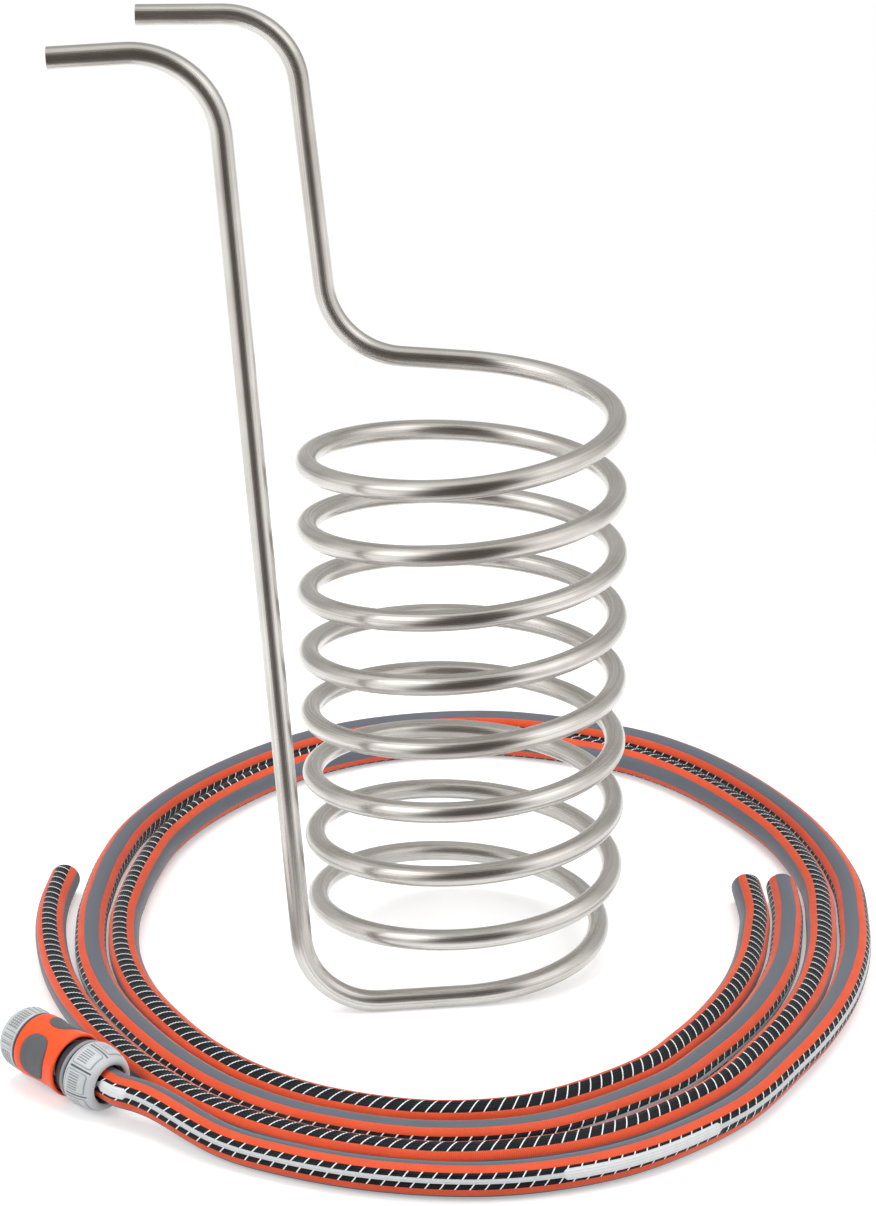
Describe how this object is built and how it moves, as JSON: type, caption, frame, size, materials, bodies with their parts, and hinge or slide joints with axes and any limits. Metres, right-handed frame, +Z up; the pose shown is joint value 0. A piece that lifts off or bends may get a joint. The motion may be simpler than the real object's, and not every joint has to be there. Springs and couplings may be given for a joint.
{
  "type": "immersion wort chiller",
  "caption": "Coil of steel tube with two bent spouts that cools hot wort with tap water, and two loose striped hoses in a ring, one with a quick connector.",
  "frame": {"origin": "on the floor, under the middle of the box of the chiller itself, without its hoses; the coil's axis is 64 mm to the right of it", "axes": "+X to the right, away from the spouts; +Y to the back, away from the camera; +Z up along the coil"},
  "size_m": [0.5035, 0.6621, 0.566],
  "materials": {
    "stainless_steel": "satin, drawn along the tube",
    "striped_hose": "satin, with lengthwise orange, grey and ribbed black stripes",
    "black_plastic": "moulded, satin",
    "orange_plastic": "moulded, soft gloss",
    "pale_grey_plastic": "moulded, fine texture",
    "dark_soft_grip": "soft moulded pad, matt",
    "claw_plastic": "moulded, smooth",
    "spring_steel": "drawn wire",
    "seal_rubber": "smooth ring"
  },
  "bodies": {
    "root": {"connector_body": "black_plastic", "socket_seal": "seal_rubber", "sleeve_spring": "spring_steel", "supply_hose": "striped_hose", "drain_hose": "striped_hose"},
    "chiller": {"chiller_tube": "stainless_steel"},
    "sleeve": {"release_sleeve": "orange_plastic", "front_ring": "pale_grey_plastic", "soft_grip_1": "dark_soft_grip", "soft_grip_2": "dark_soft_grip", "soft_grip_3": "dark_soft_grip"},
    "claw_1": {"locking_claw_1": "claw_plastic"},
    "claw_2": {"locking_claw_2": "claw_plastic"},
    "claw_3": {"locking_claw_3": "claw_plastic"},
    "collet": {"hose_collet": "black_plastic"},
    "nut": {"clamp_nut": "pale_grey_plastic"}
  },
  "joints": [
    {"name": "chiller_lift", "type": "slide", "parent": "root", "child": "chiller", "axis": [0, 0, 1], "range_m": [0, 0.1]},
    {"name": "sleeve_release", "type": "slide", "parent": "root", "child": "sleeve", "axis": [0.7119, -0.6996, -0.061], "range_m": [0, 0.0035], "stiffness_N_per_m": 800, "springref_m": -0.01},
    {"name": "claw_1_open", "type": "slide", "parent": "root", "child": "claw_1", "axis": [-0.5852, -0.6391, 0.4991], "range_m": [0, 0.00121]},
    {"name": "claw_2_open", "type": "slide", "parent": "root", "child": "claw_2", "axis": [-0.0435, 0.0428, -0.9981], "range_m": [0, 0.00121]},
    {"name": "claw_3_open", "type": "slide", "parent": "root", "child": "claw_3", "axis": [0.6288, 0.5963, 0.4991], "range_m": [0, 0.00121]},
    {"name": "collet_travel", "type": "slide", "parent": "root", "child": "collet", "axis": [0.7119, -0.6996, -0.061], "range_m": [0, 0.0061]},
    {"name": "nut_turn", "type": "hinge", "parent": "collet", "child": "nut", "pos_m": [-0.13698, -0.20668, 0.0185], "axis": [0.7119, -0.6996, -0.061], "range_deg": [0, 720]}
  ],
  "couplings": [
    {"joint": "claw_1_open", "follows": "sleeve_release", "ratio": 0.34286},
    {"joint": "claw_2_open", "follows": "sleeve_release", "ratio": 0.34286},
    {"joint": "claw_3_open", "follows": "sleeve_release", "ratio": 0.34286},
    {"joint": "collet_travel", "follows": "nut_turn", "m_per_rad": 0.00047746}
  ]
}
